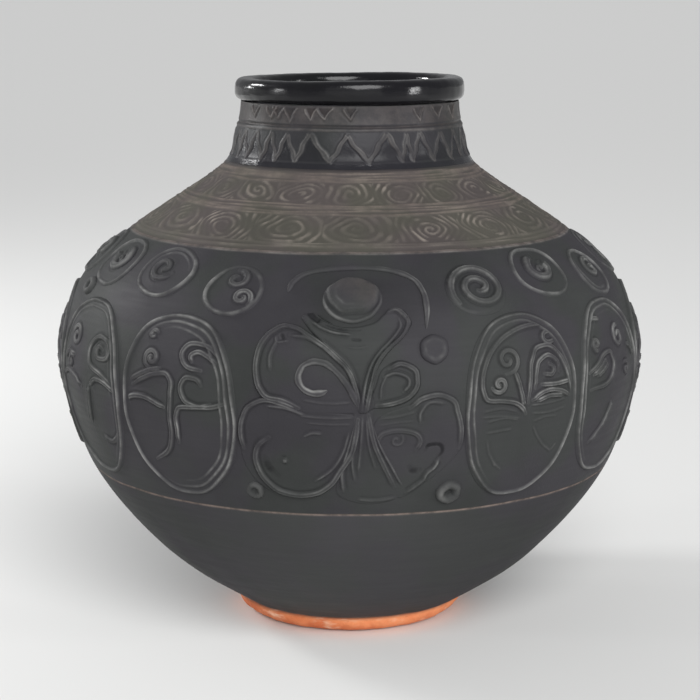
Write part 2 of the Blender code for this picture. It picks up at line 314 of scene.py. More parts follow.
def turned(name, rows, marks, material, capped=False):
    """A closed body from rows of points, (row, column, 3), up the outside and down the inside. The rows close
    on themselves or, if capped, on a point in the middle of the first and of the last."""
    count, around = rows.shape[:2]
    points = rows.reshape(-1, 3)
    faces = grid_faces(count, around, closed=not capped)
    if capped:
        base, floor, last = len(points), len(points) + 1, (count - 1) * around
        points = vstack([points, rows[0].mean(axis=0), rows[-1].mean(axis=0)])
        for i in range(around):
            j = (i + 1) % around
            faces += [[base, j, i], [floor, last + i, last + j]]
        marks = {mark: np.append(values, [values[0, 0], values[-1, 0]]) for mark, values in marks.items()}
    make_piece(name, points, faces, marks, material)


PAD_SUNK = 0.7  # how far a pad's border lies under the wall's face, out of sight
PAD_BACK = 1.6
PAD_ROUND = 1.3  # how far in from its border a pad reaches its full height

# Sample points of an applied piece: angle, climb and distance in from its border, each (ring, sector)
Pad = namedtuple("Pad", "angle climb inset")


def pad_points(border, centre, pitch):
    """Points over the area inside a closed border, in rings about centre."""
    reach = reach_along(flat(border))
    even = linspace(0, reach[-1], int(reach[-1] / pitch), endpoint=False)
    edge = column_stack([interp(even, reach, border[:, i]) for i in (0, 1)])
    rings = int(hypot(*flat(edge, centre).T).max() / pitch)
    share = linspace(1, 1 / rings, rings)[:, None]
    angle, climb = (centre[i] + (edge[:, i] - centre[i]) * share for i in (0, 1))
    return Pad(angle, climb, nearest(border, angle, climb, math.inf)[0])


def make_pad(node, pad, centre, rise, marks):
    """An applied piece that stands rise off the wall, falls away to its border, and is closed behind."""
    rings, sectors = pad.angle.shape
    ramp = sqrt(1 - (1 - unit(pad.inset / PAD_ROUND)) ** 2)
    lift = -PAD_SUNK + (rise + PAD_SUNK) * ramp
    middle = [np.array([value]) for value in centre]
    face = on_wall(pad.angle, pad.climb, lift).reshape(-1, 3)
    back = [on_wall(pad.angle[0], pad.climb[0], -PAD_BACK), on_wall(*middle, -PAD_BACK)]
    points = vstack([face, on_wall(*middle, lift[-1].mean()), *back])
    faces = grid_faces(rings, sectors)
    last, top = (rings - 1) * sectors, rings * sectors
    rim = top + 1
    for i in range(sectors):
        j = (i + 1) % sectors
        faces += [[last + i, last + j, top], [j, i, rim + i, rim + j], [rim + j, rim + i, rim + sectors]]
    unseen = zeros(sectors + 1)
    marks = {mark: np.hstack([values.ravel(), values[-1, -1], unseen]) for mark, values in marks.items()}
    make_piece(node + "_relief", points, faces, marks, SATIN)


def oval_border(centre, half_angle, half_height, squareness=2.0, wobble=0.0, seed=0, count=96):
    """A closed border, counter-clockwise from outside: an oval, squarer above 2, shaky with wobble."""
    turn = linspace(0, 2 * math.pi, count + 1)
    size = (np.abs(cos(turn)) ** squareness + np.abs(sin(turn)) ** squareness) ** (-1 / squareness)
    choose = np.random.default_rng(seed)
    for wave in (2, 3, 4, 5):
        size = size * (1 + wobble / wave * math.sqrt(2) * cos(wave * turn + choose.uniform(0, 6.28)))
    across, up = half_angle * size * cos(turn), half_height * size * sin(turn)
    return column_stack([centre[0] + across, centre[1] + up])


# ---- materials


class Graph:
    """A short way to write a material's nodes. An input takes a value, or an output to link to."""

    def __init__(self, name):
        self.material = bpy.data.materials.new(name)
        self.material.use_nodes = True
        self.tree = self.material.node_tree
        self.tree.nodes.clear()
        self.shader = self.add("BsdfPrincipled")
        self.add("OutputMaterial", {"Surface": self.shader.outputs["BSDF"]})
        self.place = self.add("TexCoord").outputs["Object"]

    def add(self, kind, inputs=(), **settings):
        """A node with its settings and inputs."""
        node = self.tree.nodes.new("ShaderNode" + kind)
        for setting, value in settings.items():
            setattr(node, setting, value)
        self.feed(node, dict(inputs))
        return node

    def feed(self, node, inputs):
        """Sets or links a node's inputs."""
        for key, value in inputs.items():
            if isinstance(value, bpy.types.NodeSocket):
                self.tree.links.new(value, node.inputs[key])
            else:
                node.inputs[key].default_value = value

    def mark(self, name):
        """A mark that the mesh carries."""
        return self.add("Attribute", attribute_name=name).outputs["Fac"]

    def noise(self, size, detail, rough, wide=1):
        """Noise with patches of about this size in metres, wide times wider than they are high."""
        inputs = {"Vector": self.place, "Scale": [1 / size, 1 / size, wide / size]}
        inputs = {"Vector": self.add("Mapping", inputs).outputs["Vector"], "Scale": 1.0}
        return self.add("TexNoise", inputs | {"Detail": detail, "Roughness": rough}).outputs["Fac"]

    def spread(self, value, low, high, to_low=0.0, to_high=1.0):
        """A value from low to high, moved smoothly to a new range."""
        inputs = {"Value": value, "From Min": low, "From Max": high, "To Min": to_low, "To Max": to_high}
        return self.add("MapRange", inputs, interpolation_type="SMOOTHSTEP").outputs["Result"]

    def sum(self, operation, a, b):
        """One sum on two values."""
        return self.add("Math", {0: a, 1: b}, operation=operation).outputs["Value"]

    def mix(self, share, a, b):
        """A colour between two."""
        return self.add("Mix", {"Factor": share, 6: a, 7: b}, data_type="RGBA").outputs[2]

    def bump(self, height, distance, strength, **under):
        """A surface bumped by height, distance metres deep."""
        inputs = {"Height": height, "Distance": distance, "Strength": strength}
        return self.add("Bump", inputs | under).outputs["Normal"]


def grey(red, green, blue):
    """A colour given as it looks on a screen, 0 to 255."""
    return tuple((value / 255) ** 2.2 for value in (red, green, blue)) + (1.0,)


def tinted(colour, *scale):
    """A colour with its red, green and blue scaled."""
    return tuple(value * by for value, by in zip(colour, (*scale, 1.0)))


def clay_material(name, dark, light, rubbed_and_highlight, rough, polish_rough, grain, specular):
    """Smoke-blackened clay. Marks: line, paler above 0 for rubbed wear and painted highlight, darker below 0
    for painted shade and the neck's own dark pattern; warm, bare red clay; polish, burnished; the painted
    light mark, evenly paler."""
    graph = Graph(name)
    mix, spread, noise, calc = graph.mix, graph.spread, graph.noise, graph.sum
    line, warm, polish = (graph.mark(mark) for mark in ("line", "warm", "polish"))
    clouds = noise(0.055, 5.0, 0.6)
    streaks = noise(0.030, 4.0, 0.6, wide=14)
    speckle = noise(0.0011, 2.0, 0.5)
    wear = noise(0.006, 4.0, 0.65)
    patches = noise(0.021, 3.0, 0.6)
    body = mix(spread(clouds, 0.32, 0.68), dark, light)
    body = mix(spread(streaks, 0.35, 0.7, 0.0, 0.14), body, dark)
    body = mix(spread(speckle, 0.55, 0.8, 0.0, 0.3), body, light)
    hues = spread(noise(0.034, 2.0, 0.5), 0.4, 0.6)
    body = mix(0.45, body, mix(hues, tinted(light, 0.97, 1.08, 0.96), tinted(light, 1.06, 0.98, 1.13)))
    # Painted light: the painted light mark makes the bowl evenly paler where the lamps face it.
    body = mix(graph.mark("painted_light"), body, grey(84, 84, 85))
    # The crests are painted paler, partly for rubbed wear and partly as painted highlight, brighter still in
    # patches.
    faint = calc("MULTIPLY", spread(wear, 0.3, 0.62, 0.4), spread(patches, 0.36, 0.6, 0.4))
    worn = calc("MULTIPLY", calc("MAXIMUM", line, 0.0), faint)
    body = mix(worn, body, mix(spread(patches, 0.45, 0.65), rubbed_and_highlight, tinted(rubbed_and_highlight, 1.6, 1.6, 1.6)))
    # Below 0 the line mark darkens the colour: painted shade in grooves, ditches and hollows, and the neck's
    # own dark pattern.
    body = mix(calc("MAXIMUM", calc("MULTIPLY", line, -0.75), 0.0), body, grey(24, 24, 26))
    body = mix(calc("MULTIPLY", polish, 0.75), body, grey(34, 34, 38))
    bare = mix(spread(wear, 0.3, 0.7), grey(88, 79, 74), grey(122, 109, 102))
    body = mix(calc("MULTIPLY", warm, spread(wear, 0.2, 0.55, 0.5)), body, bare)
    roughness = spread(clouds, 0.3, 0.7, rough - 0.07, rough + 0.08)
    roughness = calc("ADD", roughness, spread(streaks, 0.3, 0.7, -0.03, 0.03))
    roughness = calc("ADD", roughness, calc("MULTIPLY", warm, 0.25))
    roughness = calc("SUBTRACT", roughness, calc("MULTIPLY", polish, rough - polish_rough))
    surface = graph.bump(speckle, 0.00012 * grain, 0.5)
    surface = graph.bump(streaks, 0.0005, 0.07, Normal=surface)
    surface = graph.bump(wear, 0.0004 * grain, 0.3, Normal=surface)
    looks = {"Base Color": body, "Roughness": roughness, "Specular IOR Level": specular, "Normal": surface}
    graph.feed(graph.shader, looks)
    return graph.material


def terracotta_material(name):
    """The foot's bare clay: orange, gritty, smudged with soot and pale slip."""
    graph = Graph(name)
    mix, spread = graph.mix, graph.spread
    clouds = graph.noise(0.018, 5.0, 0.65)
    wash = graph.noise(0.012, 4.0, 0.6, wide=3)
    grit = graph.noise(0.0016, 3.0, 0.6)
    soot = graph.mark("soot")
    body = mix(spread(clouds, 0.35, 0.65), grey(204, 107, 62), grey(228, 141, 94))
    body = mix(spread(wash, 0.52, 0.74, 0.0, 0.7), body, grey(240, 206, 178))
    body = mix(spread(grit, 0.6, 0.8, 0.0, 0.5), body, grey(150, 84, 56))
    body = mix(graph.sum("MULTIPLY", soot, spread(clouds, 0.3, 0.55, 0.5)), body, grey(58, 52, 50))
    roughness = spread(clouds, 0.3, 0.7, 0.72, 0.9)
    surface = graph.bump(clouds, 0.0012, 0.4, Normal=graph.bump(grit, 0.0006, 0.5))
    graph.feed(graph.shader, {"Base Color": body, "Roughness": roughness, "Normal": surface})
    return graph.material


# Dark, light and pale colour, the pale one for rubbed wear and painted highlight, roughness plain and
# polished, strength of the grain, and specular level
SATIN = clay_material(
    "satin_black_clay", grey(43, 43, 44), grey(56, 56, 57), grey(96, 96, 95), 0.62, 0.2, 1.0, 0.14
)
BURNISHED = clay_material(
    "burnished_black_clay", grey(17, 17, 19), grey(26, 26, 28), grey(90, 90, 90), 0.17, 0.15, 0.6, 0.28
)
MATTE = clay_material(
    "matte_grey_clay", grey(66, 63, 60), grey(80, 76, 72), grey(104, 98, 92), 0.7, 0.2, 1.0, 0.14
)
TERRACOTTA = terracotta_material("bare_terracotta")

# ---- turned sections

COLUMNS = 540
SHOULDER_COLUMNS = 1300
NECK_COLUMNS = 1100
INNER_ROWS = 5
SCARF = 5.0  # rise of a joint from the outer face to the inner one
JOINT_GAP = 0.05
THICKNESS = radius_at(RIM_JOINT) - radii(vertex_array("neck_collar")).min()
FLOOR_HEIGHT = FOOT_HIGH.z + THICKNESS + 1.0
FINE_EDGE = 3.6  # how far from a drawn seam the rows of points are close together
BELLY_DROP = 0.8  # how far below their joints the two seam lines are drawn
SHOULDER_DROP = 1.4
SEAM_WIDTH = 0.5
DISC_SHADE_CENTRE = (1.5, 98)  # where the ground round the disc is painted darker, painted shade under the arch and above the cup: angle and climb
DISC_SHADE_REACH = (13.5, 17)


def full_turn(columns, climb):
    """Grids of angle and climb right round the pot."""
    return np.meshgrid(linspace(-180, 180, columns, endpoint=False), climb, indexing="xy")


def even_rows(low, high, pitch):
    """Climbs from low to high, about pitch apart."""
    return linspace(low, high, int((high - low) / pitch) + 1)


def edged_rows(low, high, pitch, fine):
    """Climbs from low to high, close together near high."""
    return np.append(even_rows(low, high - FINE_EDGE, pitch), even_rows(high - FINE_EDGE, high, fine)[1:])


def section(node, climbs, columns, relief, material):
    """A ring of wall with a row of points at each climb. relief gives its lift and marks."""
    angle, climb = full_turn(columns, climbs)
    lift, marks = relief(angle, climb)
    inner_climbs = linspace(min(climbs[-1] + SCARF, RIM_JOINT), climbs[0] + SCARF, INNER_ROWS)
    inner = on_wall(*full_turn(columns, inner_climbs), -THICKNESS)
    marks = {mark: vstack([values, zeros(inner.shape[:2])]) for mark, values in marks.items()}
    turned(node + "_skin", vstack([on_wall(angle, climb, lift), inner]), marks, material)


def belly_relief(angle, climb):
    """The ground of the ornament, with painted shade round the disc, and a seam just under its top."""
    seam = bell(climb - SHOULDER_LINE + SHOULDER_DROP, SEAM_WIDTH)
    strip = unit((climb - SHOULDER_LINE + SHOULDER_DROP) / 0.3)
    across, up = (angle - DISC_SHADE_CENTRE[0]) / DISC_SHADE_REACH[0], (climb - DISC_SHADE_CENTRE[1]) / DISC_SHADE_REACH[1]
    # Painted shade: the line mark dips below 0 round the disc, darkening the ground there.
    line = maximum(0.6 * seam, 0.3 * strip) - 0.4 * exp(-(across**4) - up**4)
    return 0.2 * seam, {"warm": maximum(0.3 * seam, 0.4 * strip), "line": line}


def bowl():
    """The lower bowl, with the belly seam at its top and a ragged edge of slip above the foot."""
    angle, climb = full_turn(COLUMNS, edged_rows(FOOT_JOINT, 0.0, pitch=1.15, fine=0.25))
    seam = bell(climb + BELLY_DROP, SEAM_WIDTH)
    inside = on_wall(*full_turn(COLUMNS, linspace(SCARF, FOOT_JOINT + 12.0, 24)), -THICKNESS)
    base = place(angle[0], radius_at(FOOT_JOINT) - 3.0, FOOT_HIGH.z + 0.3)
    floor = place(angle[0], radius_at(FOOT_JOINT + 8.0) - 2 * THICKNESS, FLOOR_HEIGHT)
    turn = radians(angle)
    ragged = 1.5 + 0.8 * sin(7 * turn + 1) * sin(3 * turn) + 0.4 * sin(19 * turn)
    # Painted light and shade: painted_lit is 1 in three lobes round the bowl, one facing the front. There the
    # bowl is painted paler, more so lower down. Between the lobes, at its sides, it is painted darker.
    painted_lit = 0.5 + 0.5 * cos(3 * turn)
    outside = {
        "warm": maximum(0.95 * seam, unit(1 - (climb - FOOT_JOINT) / ragged)),
        "painted_light": painted_lit * (0.22 + 0.07 * climb / FOOT_JOINT),
        "line": -0.18 * (1 - painted_lit),
    }
    marks = {}
    for mark, values in outside.items():
        under = np.full((1, COLUMNS), mark == "warm")
        marks[mark] = vstack([under, values, zeros((len(inside) + 1, COLUMNS))])
    rows = vstack([base[None], on_wall(angle, climb, -0.3 * seam), inside, floor[None]])
    turned("lower_bowl_skin", rows, marks, SATIN, capped=True)


def foot():
    """The foot: a rounded disc of bare clay, uneven at its edge."""
    corners = vertex_array("foot")
    low_radius = radii(corners[corners[:, 2] < JOINT_GAP]).max()
    angle, share = full_turn(360, linspace(0, 1, 18))
    turn = radians(angle)
    radius = low_radius + (FOOT_HIGH.x - low_radius) * sin(share * math.pi / 2) ** 0.9
    height = FOOT_HIGH.z * (1 - cos(share * math.pi / 2))
    chips = 0.25 * sin(9 * turn + 1) + 0.18 * sin(23 * turn) + 0.12 * sin(41 * turn + 2)
    side = place(angle, radius + chips * sin(share * math.pi), height)
    under = place(angle[0], low_radius - 1.2, 0.0)[None]
    top = place(angle[0], FOOT_HIGH.x - 1.5, FOOT_HIGH.z)[None]
    soot = vstack([share[:1] * 0, unit((share - 0.86) / 0.14), share[:1] * 0])
    turned("foot_clay", vstack([under, side, top]), {"soot": soot}, TERRACOTTA, capped=True)


def rim():
    """The rolled rim: a squared-off roll, pressed unevenly and burnished."""
    corners = vertex_array("rolled_rim")
    ends = np.array([(values.min(), values.max()) for values in (radii(corners), corners[:, 2])])
    centre, half = ends.mean(axis=1), ptp(ends, axis=1) / 2
    angle, around = full_turn(COLUMNS, linspace(0, 360, 72, endpoint=False))
    turn, lean = radians(angle), radians(around)
    across, up = cos(lean), sin(lean)
    size = (np.abs(across) ** 3 + np.abs(up) ** 3) ** (-1 / 3)
    pressed = 0.25 * sin(3 * turn + 0.6) + 0.14 * sin(7 * turn + lean)
    pressed = pressed + 0.05 * sin(16 * turn - 2 * lean)
    dents = 0.025 * sin(31 * turn + 3 * lean) + 0.015 * sin(53 * turn)
    radius = centre[0] + (half[0] + 0.6 * pressed + dents) * size * across
    height = centre[1] + (half[1] + 0.5 * pressed + dents) * size * up
    height = height + 0.5 * cos(turn - 0.9) * (up > -0.5)
    turned("rolled_rim_skin", place(angle, radius, height), {}, BURNISHED)


# ---- shoulder and neck bands

SCROLL_PITCH = 3.15  # from one line of a scroll to the next
SCROLL_WIDTH = 1.15
SCROLL_HEIGHT = 0.4
# Climb above the shoulder line of the lines drawn round the shoulder
SHOULDER_LINES = (2.6, 4.6, 24.4, 26.4, 28.4, 30.6, 46.6, 48.4, 50.0, 51.6)
# Bands of scrolls: middle above the shoulder line, half height, degrees from scroll to scroll, the first
# scroll's angle, and the seed of the uneven hand
SCROLL_BANDS = ((14.4, 9.3, 20.0, 2.5, 3), (38.6, 7.4, 18.0, -0.5, 8))


def band_line(angle, climb, at, width, height, shake):
    """A ridge, or a groove if height is negative, drawn round the pot a little unsteadily."""
    turn = radians(angle)
    wander = sin(3 * turn + at) + 0.6 * sin(8 * turn + 2.3 * at) + 0.3 * sin(19 * turn + 5 * at)
    pressed = 0.75 + 0.25 * sin(5 * turn + 3 * at) * sin(11 * turn + at)
    return ridge(climb - at - shake * wander, width, height) * pressed


def scroll_form(angle, climb, above, half, pitch, first, seed):
    """A band of scrolls, 0 to 1. Each winds out into arcs that meet the arcs of the next."""
    choose = np.random.default_rng(seed)
    count = round(360 / pitch)
    cell = np.round((angle - first) / pitch).astype(int)
    shift, lift, bend, phase, hand = (choose.uniform(-1, 1, count)[cell % count] for _ in range(5))
    middle = SHOULDER_LINE + above
    across = radians(angle - first - cell * pitch) * radius_at(middle)
    edge = radians(pitch / 2) * radius_at(middle) - np.abs(across)
    x = across - 1.3 * shift
    y = climb - middle - 0.8 * lift
    x = x + 1.1 * sin(0.28 * y + 3 * phase) + 0.45 * sin(0.55 * y + 6 * bend + 0.2 * x)
    y = y + 0.8 * sin(0.24 * x + 3 * bend)
    wind = hypot(x * (0.85 + 0.2 * bend), y) / (SCROLL_PITCH * (1 + 0.16 * lift)) + 0.5 * phase
    wind = wind - where(np.abs(hand) > 0.25, np.sign(hand), 0) * arctan2(y, x) / (2 * math.pi)
    away = np.abs(wind - np.round(wind)) * SCROLL_PITCH
    keep = unit((half - np.abs(climb - middle)) / 1.1) * unit(edge / 0.9 + 0.2)
    uneven = 0.8 + 0.2 * sin(0.7 * x + 0.9 * y + 4 * shift)
    gone = 0.6 + 1.2 * sin(0.31 * x + 5 * phase) * sin(0.37 * y - 4 * bend + 0.2 * x)
    return ridge(away, SCROLL_WIDTH * (0.85 + 0.15 * sin(x + y))) * keep * uneven * clip(gone, 0.1, 1)


def shoulder_relief(angle, climb):
    """The shoulder: two bands of scrolls between drawn lines, and a burnished cove under the neck."""
    drawn = [band_line(angle, climb, SHOULDER_LINE + at, 0.8, 1.0, shake=0.45) for at in SHOULDER_LINES]
    lines = maximum.reduce(drawn)
    scrolls = maximum.reduce([scroll_form(angle, climb, *band) for band in SCROLL_BANDS])
    rise = maximum(lines * 0.42, SCROLL_HEIGHT * scrolls)
    line = maximum(lines * 0.55, scrolls)
    ground = unit(1 - rise / 0.12)
    cove = unit((climb - NECK_JOINT + 2.0) / 1.5)
    marks = {
        "line": (0.95 * line - 0.16 * ground) * (1 - cove),
        "warm": 0.4 * lines * (climb > SHOULDER_LINE + 10),
        "polish": 0.9 * cove,
    }
    return rise, marks


NECK_SEED = 21
NECK_LINE = 19.7  # climb above the neck joint of the groove round the neck
ZIGZAG_LOW = 4.2
ZIGZAG_HIGH = 16.6
# Angles of the zigzag's tops and, between them, of its points. It goes on by chance round the back.
ZIGZAG = (
    -70, -66.5, -62, -57, -51.5, -45.5, -41, -37, -31.5, -25.5, -19.5, -9.5, -1.5, 9, 17.5, 24.8, 27.8, 30.7,
    35.8, 42.8, 49, 55.5, 61.5, 67, 72, 76, 79,
)
ZIGZAG_BACK = 28  # further corners, an even number
TEETH = (
    -56, -43, -38.5, -31, -19.6, -12.8, 0, 37, 50, 64, 96, 108, 121, 133, 152, 170, -166, -150, -131, -118,
    -104,
)
TOOTH_HALF = 3.4
TOOTH_DEPTH = 6.4


def zigzag_corners(choose):
    """Angles and climbs of the zigzag's corners, from its first angle to a full turn on."""
    steps = choose.uniform(0.7, 1.4, ZIGZAG_BACK)
    back = ZIGZAG[-1] + np.cumsum(steps) / steps.sum() * (360 + ZIGZAG[0] - ZIGZAG[-1])
    angle = np.concatenate([ZIGZAG, back])
    climb = where(np.arange(len(angle)) % 2, ZIGZAG_LOW, ZIGZAG_HIGH) + choose.uniform(-0.7, 0.7, len(angle))
    climb[-1] = climb[0]
    return angle, NECK_JOINT + climb


def neck_relief(angle, climb):
    """The neck: a zigzag of doubled lines over burnished triangles, a groove, and small dark teeth."""
    choose = np.random.default_rng(NECK_SEED)
    corners, heights = zigzag_corners(choose)
    strokes = []
    for i in range(1, len(corners), 2):
        path = [linspace((corners[j], heights[j]), (corners[j + 1], heights[j + 1]), 7) for j in (i - 1, i)]
        strokes.append(Stroke(vstack([path[0], path[1][1:]]), 1.35, 0.34, 0.02, 0.7))
    sooty = zeros(angle.shape)
    for middle in TEETH:
        low = RIM_JOINT - TOOTH_DEPTH + choose.uniform(-0.8, 0.8)
        high, half = RIM_JOINT - 1.2, TOOTH_HALF + choose.uniform(-0.8, 0.8)
        path = np.array([(middle - half, high), (middle, low), (middle + half, high)])
        strokes.append(Stroke(path, 0.8, 0.4, 0.02))
        inside = (climb - low) / (high - low) - np.abs(wrapped(angle - middle)) / half
        sooty = maximum(sooty, unit(inside * 5 - 0.6) * (climb < high))
    shaky = angle + 0.35 * sin(0.9 * climb) + 0.3 * sin(0.21 * angle)
    rise, line = draw(strokes, shaky, climb + 0.25 * sin(0.8 * angle))
    raised = unit(line)
    under = interp((shaky - corners[0]) % 360 + corners[0], corners, heights) - climb
    above = climb - NECK_JOINT
    triangle = unit(under / 0.8 - 1.2) * unit((above - 3.2) / 0.8)
    cove = unit((4.0 - above) / 1.5)
    groove = band_line(angle, climb, NECK_JOINT + NECK_LINE, 0.8, -0.55, shake=0.15)
    lip = band_line(angle, climb, NECK_JOINT + NECK_LINE - 1.6, 0.9, 0.35, shake=0.15)
    upper = unit((above - NECK_LINE - 0.8) * 2)
    pale = maximum(1.8 * line, maximum(0.14 * upper, 0.03 * (1 - triangle) * (1 - upper)))
    marks = {
        "line": pale + 1.2 * (lip + groove) - 0.9 * sooty - 0.35 * triangle * (line < 0.1),
        "warm": maximum(maximum(0.5 * lip, -0.3 * groove), 0.3 * raised + 0.12 * upper),
        "polish": maximum(maximum(0.7 * triangle, cove), 0.45) * (1 - 0.6 * raised),
    }
    return rise + groove + lip - 0.2 * triangle, marks


# ---- medallions and roundels


def footprint(node):
    """(angle, climb) of an applied CAD piece's middle, its half width in degrees and its half height."""
    corners = vertex_array(node)
    apart = hypot(radii(corners)[:, None] - WALL[:, 0], corners[:, 2][:, None] - WALL[:, 1])
    climb = WALL_REACH[apart.argmin(axis=1)] - BELLY_REACH
    x, y = corners[:, :2].mean(axis=0)
    middle = math.degrees(math.atan2(x, -y))
    turn = wrapped(degrees(arctan2(corners[:, 0], -corners[:, 1])) - middle)
    return (middle, (climb.min() + climb.max()) / 2), ptp(turn) / 2, ptp(climb) / 2


# A medallion's design from its middle: the strengths of the ridges round it, its lines as angle, climb, angle
# and so on, its spirals as angle, climb, size, turns, direction of the outer end and hand, and faint lines
Design = namedtuple("Design", "ridges lines spirals faint", defaults=((),))
TREE = Design(
    (1, 1, 1),
    (
        (-9.6, 7.4, -6.9, 11, -3.7, 13.8, -1.7, 14.4, -0.5, 12, -0.4, 6, -0.8, -4, -1.1, -14, -2.6, -21,
         -6, -26),
        (10.6, 3.8, 8.3, 2.2, 4.4, 1.4, 1.6, 0.6, 0.8, -2.4, 0.6, -9, 0.4, -16),
        (5.9, 17.2, 3.4, 18, 1.8, 21.4, 1.8, 25.4, 3.6, 28.4, 6.2, 28, 8.8, 24.6, 10.6, 20, 11.6, 15),
        (3.8, 20.4, 3.6, 23.4, 5, 25, 6.9, 23.6, 8.6, 20.8),
        (6, 10.8, 5.1, 13.4, 3.3, 13.8, 2, 11, 2.1, 6.4, 3.4, 3, 5.8, 1.8, 8, 3.2),
        (-11.6, 0.4, -9.7, 2.4, -6.9, 3, -4.2, 1.4, -2, -0.4), (-9.9, 9.8, -7.2, 13, -4.9, 15.2, -3, 16.2),
    ),
    ((-5.2, 20.2, 4.4, 1.5, -90, 1), (-5.8, 30.2, 2.4, 0.8, 30, -1)),
)
VINE = Design(
    (1, 0.8, 0.3),
    (
        (11, 3.6, 7.5, 8, 3.6, 10.8, 2.4, 15.5, 3.4, 21.4, 6, 24.6, 8.3, 23.4, 9.2, 19.4, 8.2, 15.2, 6.2, 15,
         5.3, 17.6, 6.2, 20.2, 7.3, 18.6),
        (3, 2, 5.4, 5.4, 8.6, 4.8, 11.5, 1.5), (11.5, -2, 11.2, -11, 9.8, -20, 7.5, -23, 5, -21.5),
        (2.4, 1, 1.6, -8, 1, -16), (-11, 2, -8.4, 4.5, -4, 3.8, -0.8, 0), (-9.8, 10, -7.4, 13.6, -4.2, 13),
    ),
    ((-4.4, 21.5, 5.6, 1.5, 200, 1), (-6, 9.5, 3.6, 1.2, 20, -1)),
)
CREST = Design(
    (1, 0.9, 0),
    (
        (7.7, 33.2, 4.7, 35.2, 0.7, 34.8, -3.3, 32, -6.4, 27.2, -8.5, 20.4, -9.4, 13.6, -9.2, 8.6, -8.2, 5,
         -5.4, 4.2, -2.8, 2.8, -1.1, 0, -0.3, -2.6),
        (-2.6, 16, -1.6, 8, -0.9, 1),
        (0.1, 2, 0.5, 12, 1.4, 20.6, 3.4, 25.4, 5.6, 25.6, 7.8, 22, 9.4, 16, 10.5, 8, 11.2, 2),
        (1.6, 8, 2, 14.4, 3.4, 20, 5.2, 21.4, 7, 19, 7.8, 13.6), (4, 13.6, 5.6, 13, 6.4, 15.4, 5.4, 17.8),
        (1, 2.8, 2.8, 5.4, 5.2, 6.4, 7.7, 5.4, 10.4, 2.4), (2.2, 2.4, 4.7, 3.8, 8.6, 3),
        (3.2, 9.2, 6.7, 8.6, 10.2, 9), (7.4, 31.6, 5.6, 31.2, 4.9, 28.8, 6, 26.8, 7.7, 27.4),
    ),
    ((-4, 21.4, 6, 1.4, -100, -1), (-6, 11.4, 3.8, 1.3, 200, -1)),
    (
        (-9.3, 0.2, -5.3, 0.8, -2.3, -1), (-9.4, -2.2, -5, -2.7, -1.5, -4.3),
        (-8.3, -4.6, -4.3, -3.6, -1.8, -5), (-8.3, -9.6, -5, -9.2, -3, -8.8), (0.7, 0.9, 4.7, 0.7, 9.7, 1.2),
        (1.2, -2.8, 5.7, -3.6, 9.7, -2.6), (1.6, -6.6, 4.7, -5.4, 7.4, -6),
        (1.8, -9, 3.2, -14, 5.2, -19, 7.4, -22.4), (6, -20, 7.4, -22.4, 8.8, -19.6),
        (-7.9, -13, -7.2, -19, -5.4, -25, -4, -28), (-6.9, -20, -5.4, -26),
    ),
)
FERN = Design(
    (1, 0.9, 0.2),
    (
        (-11.5, 7, -10.8, 21, -9, 29.4, -6.2, 33, -3.4, 32.2),
        (-10, 9.5, -7, 12.6, -4.2, 16.6, -2.6, 17, -1.6, 14.2, -1.5, 8, -3.4, 3.4, -9.6, 1.8),
        (-8.6, 8.4, -6, 11.2, -4, 14.2), (-7.2, 7.6, -5.2, 9.4, -3.4, 12.2), (9.8, 11, 8.2, 15.4, 6.6, 17.2),
        (-1, -6, -3, -16, -7, -24),
    ),
    ((-6.8, 21.6, 3.2, 1.25, -60, 1), (2.4, 22.4, 5.4, 1.4, 60, -1), (4.8, 6.6, 3.6, 1.1, 140, 1)),
)

# Kinds of roundel: the ring's strength all round, what one side has more, and spirals: place and size as
# shares of the roundel's half height, turns, degrees added to its start, hand, half width and height
SCROLLED = (0, 0.1, ((0.1, 0.03, 1.02, 1.9, 0, 1, 1.7, 1.3),))
COMMA = (0.75, 0.25, ((0.05, 0.08, 0.5, 0.85, 0, -1, 2.2, 1.5), (0.1, 0.06, 0.12, 0.8, 150, 1, 0.9, 0.7)))
DOUBLE = (0.7, 0.3, ((-0.18, 0.08, 0.52, 1.2, 40, 1, 1.5, 1.0),))
OPEN = (0.3, 0.7, ((0.0, 0.4, 0.42, 1.1, 240, 1, 1.4, 0.7), (0.4, -0.32, 0.36, 1.3, 100, -1, 1.3, 0.8)))

# Round the pot from the front's right side: design, flip, and where the inner ridges are strongest
MEDALLIONS = (
    (CREST, 1, 125), (FERN, 1, 120), (VINE, -1, 180), (TREE, 1, 30), (CREST, -1, 55), (VINE, 1, 20),
    (TREE, -1, 150), (FERN, -1, 60), (CREST, 1, 125), (VINE, 1, 30), (VINE, 1, 60), (TREE, 1, 8),
)
# Round the pot in the same way: kind, start and hand
ROUNDELS = (
    (SCROLLED, 215, 1), (COMMA, 100, 1), (DOUBLE, 60, -1), (OPEN, 300, 1), (SCROLLED, 20, -1),
    (COMMA, 120, -1), (DOUBLE, 240, 1), (OPEN, 330, -1), (SCROLLED, 90, 1), (COMMA, 190, 1),
    (DOUBLE, 280, -1), (OPEN, 40, 1), (SCROLLED, 160, -1), (COMMA, 250, -1), (COMMA, 80, -1),
    (DOUBLE, 300, 1), (OPEN, 215, 1),
)
BORDER_MARGIN = 0.9  # hidden edge of a pad beyond its CAD outline
ORNAMENT_PITCH = 0.42
MEDALLION_FLOOR = 0.45
# Inset, half width and height, and how far round each ridge goes, from half way at 0 to all the way at 2
MEDALLION_RIDGES = ((1.9, 1.05, 1.15, 2.0), (4.6, 0.9, 0.8, 0.75), (7.4, 0.8, 0.6, 0.35))
ROUNDEL_FLOOR = 0.25
ROUNDEL_RIDGE = (1.9, 1.15, 1.25)  # inset, half width, height


def pairs(numbers):
    """(angle, climb) points from angle, climb, angle, climb and so on."""
    return np.reshape(numbers, (-1, 2))


